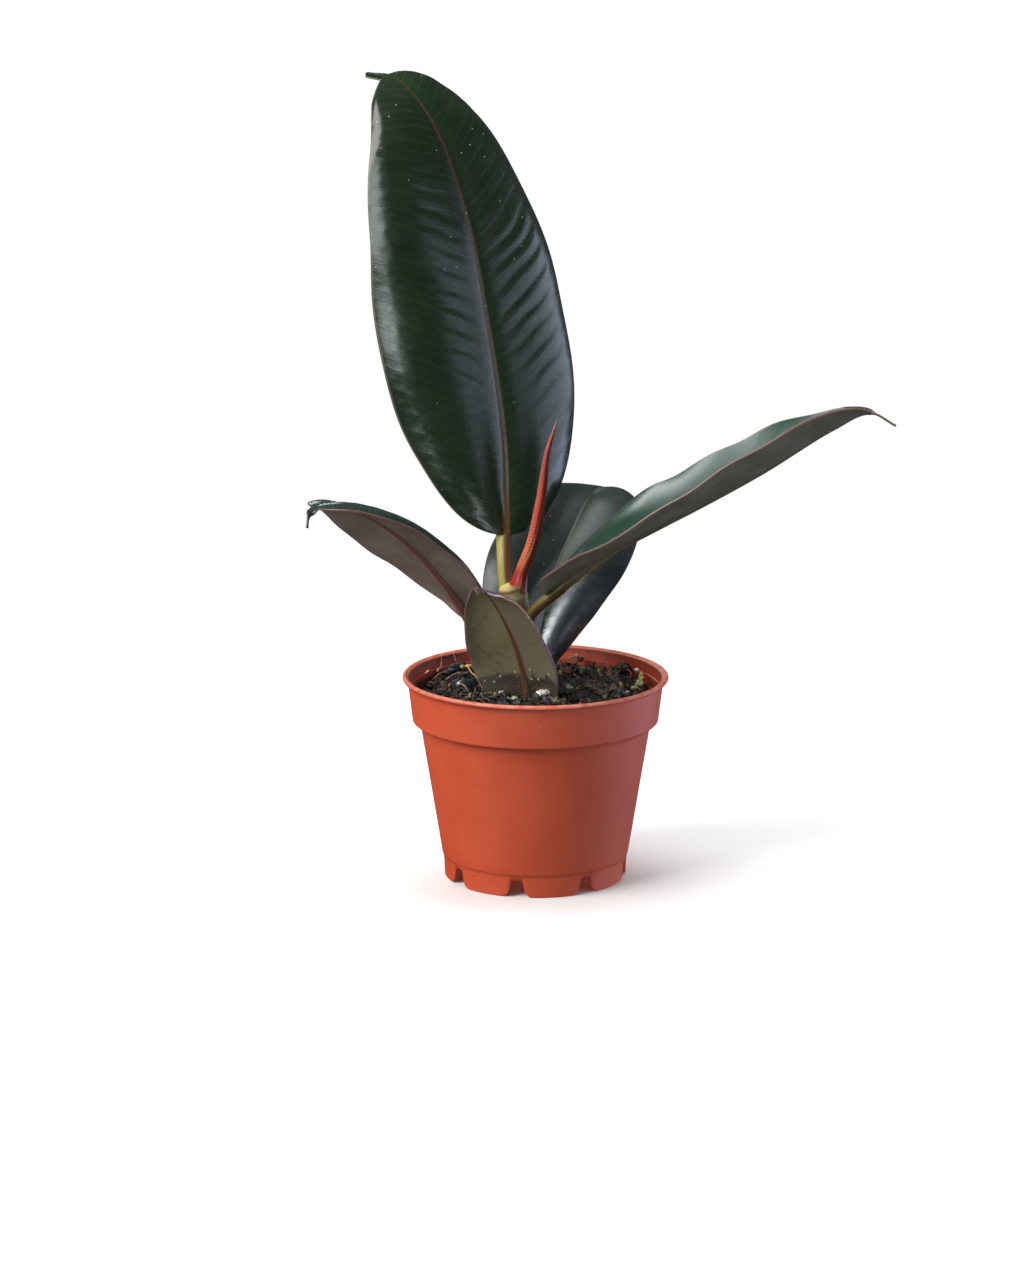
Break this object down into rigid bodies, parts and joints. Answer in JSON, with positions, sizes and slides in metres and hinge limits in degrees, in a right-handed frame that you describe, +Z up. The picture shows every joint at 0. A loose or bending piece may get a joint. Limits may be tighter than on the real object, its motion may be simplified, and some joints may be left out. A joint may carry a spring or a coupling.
{
  "type": "potted rubber plant",
  "caption": "Young rubber plant with broad glossy leaves and a red pointed leaf sheath, in a small terracotta-coloured nursery pot.",
  "frame": {"origin": "centre of the pot's underside, in the plane that its feet stand on", "axes": "+Z up along the pot's axis; -Y towards the side that the largest leaf turns its upper face to; +X to that viewer's right"},
  "size_m": [0.1271, 0.0712, 0.1793],
  "materials": {
    "terracotta_plastic": "satin",
    "potting_soil": "matte",
    "stem_green": "satin",
    "sheath_red": "satin",
    "leaf_green": "gloss",
    "leaf_young": "satin"
  },
  "bodies": {
    "root": {"pot": "terracotta_plastic", "soil": "potting_soil", "stem": "stem_green", "sheath": "sheath_red", "leaf_upright": "leaf_green", "leaf_right": "leaf_green", "leaf_back": "leaf_green", "leaf_left": "leaf_young", "leaf_front": "leaf_young"}
  },
  "joints": []
}
